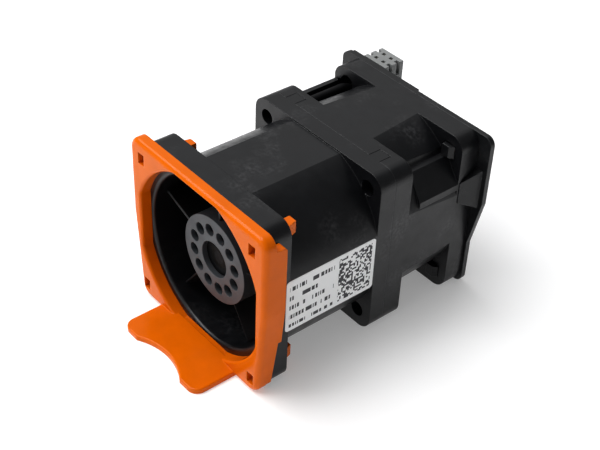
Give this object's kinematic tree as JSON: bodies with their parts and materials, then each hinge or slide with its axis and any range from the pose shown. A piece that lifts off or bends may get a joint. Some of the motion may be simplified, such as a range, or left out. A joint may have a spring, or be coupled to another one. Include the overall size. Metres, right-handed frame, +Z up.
{
  "type": "server fan module",
  "caption": "Hot-swap server fan module: two counter-rotating axial rotors in one square duct, with a push-fit front guard, finger tab and rear connector bracket.",
  "frame": {"origin": "on the rotor axis, in the seam between the two fan housings", "axes": "+Y along the air flow from the inlet guard to the rear bracket, +Z up as it stands on its flat side with the tab below, +X to the right seen from the inlet"},
  "size_m": [0.0462, 0.0769, 0.0405],
  "materials": {
    "housing_black": "moulded glass-filled plastic, fine satin texture",
    "guard_orange": "smooth satin moulded plastic",
    "bracket_black": "moulded plastic, satin",
    "connector_grey": "moulded plastic, satin",
    "contact_metal": "plated contact leaf",
    "label_white": "printed film label, satin",
    "lead_black": "soft sleeve",
    "impeller_black": "moulded plastic, satin",
    "cup_steel": "drawn steel",
    "magnet_dark": "bonded ferrite",
    "bush_brass": "turned brass",
    "shaft_steel": "ground steel",
    "spring_steel": "spring steel",
    "bearing_steel": "polished bearing steel",
    "core_steel": "stacked laminations",
    "insulator_plastic": "moulded plastic",
    "winding_copper": "enamelled copper wire",
    "board_green": "solder-masked laminate"
  },
  "bodies": {
    "housing": {"front_housing": "housing_black", "rear_housing": "housing_black", "front_guard": "guard_orange", "rear_bracket": "bracket_black", "connector_housing": "connector_grey", "connector_contacts": "contact_metal", "label": "label_white", "front_leads": "lead_black", "rear_leads": "lead_black", "front_bearing_outer_races": "bearing_steel", "front_bearing_tube": "bush_brass", "front_stator_core": "core_steel", "front_stator_insulator": "insulator_plastic", "front_windings": "winding_copper", "front_circuit_board": "board_green", "rear_bearing_outer_races": "bearing_steel", "rear_bearing_tube": "bush_brass", "rear_stator_core": "core_steel", "rear_stator_insulator": "insulator_plastic", "rear_windings": "winding_copper", "rear_circuit_board": "board_green"},
    "front_rotor": {"front_impeller": "impeller_black", "front_rotor_cup": "cup_steel", "front_magnet_ring": "magnet_dark", "front_hub_bush": "bush_brass", "front_shaft": "shaft_steel", "front_retaining_ring": "spring_steel", "front_preload_spring": "spring_steel", "front_bearing_inner_races": "bearing_steel", "front_bearing_balls": "bearing_steel"},
    "rear_rotor": {"rear_impeller": "impeller_black", "rear_rotor_cup": "cup_steel", "rear_magnet_ring": "magnet_dark", "rear_hub_bush": "bush_brass", "rear_shaft": "shaft_steel", "rear_retaining_ring": "spring_steel", "rear_preload_spring": "spring_steel", "rear_bearing_inner_races": "bearing_steel", "rear_bearing_balls": "bearing_steel"}
  },
  "joints": [
    {"name": "front_rotor_spin", "type": "hinge", "parent": "housing", "child": "front_rotor", "pos_m": [0, -0.018, 0], "axis": [0, 1, 0], "continuous": true},
    {"name": "rear_rotor_spin", "type": "hinge", "parent": "housing", "child": "rear_rotor", "pos_m": [0, 0.014, 0], "axis": [0, -1, 0], "continuous": true}
  ]
}
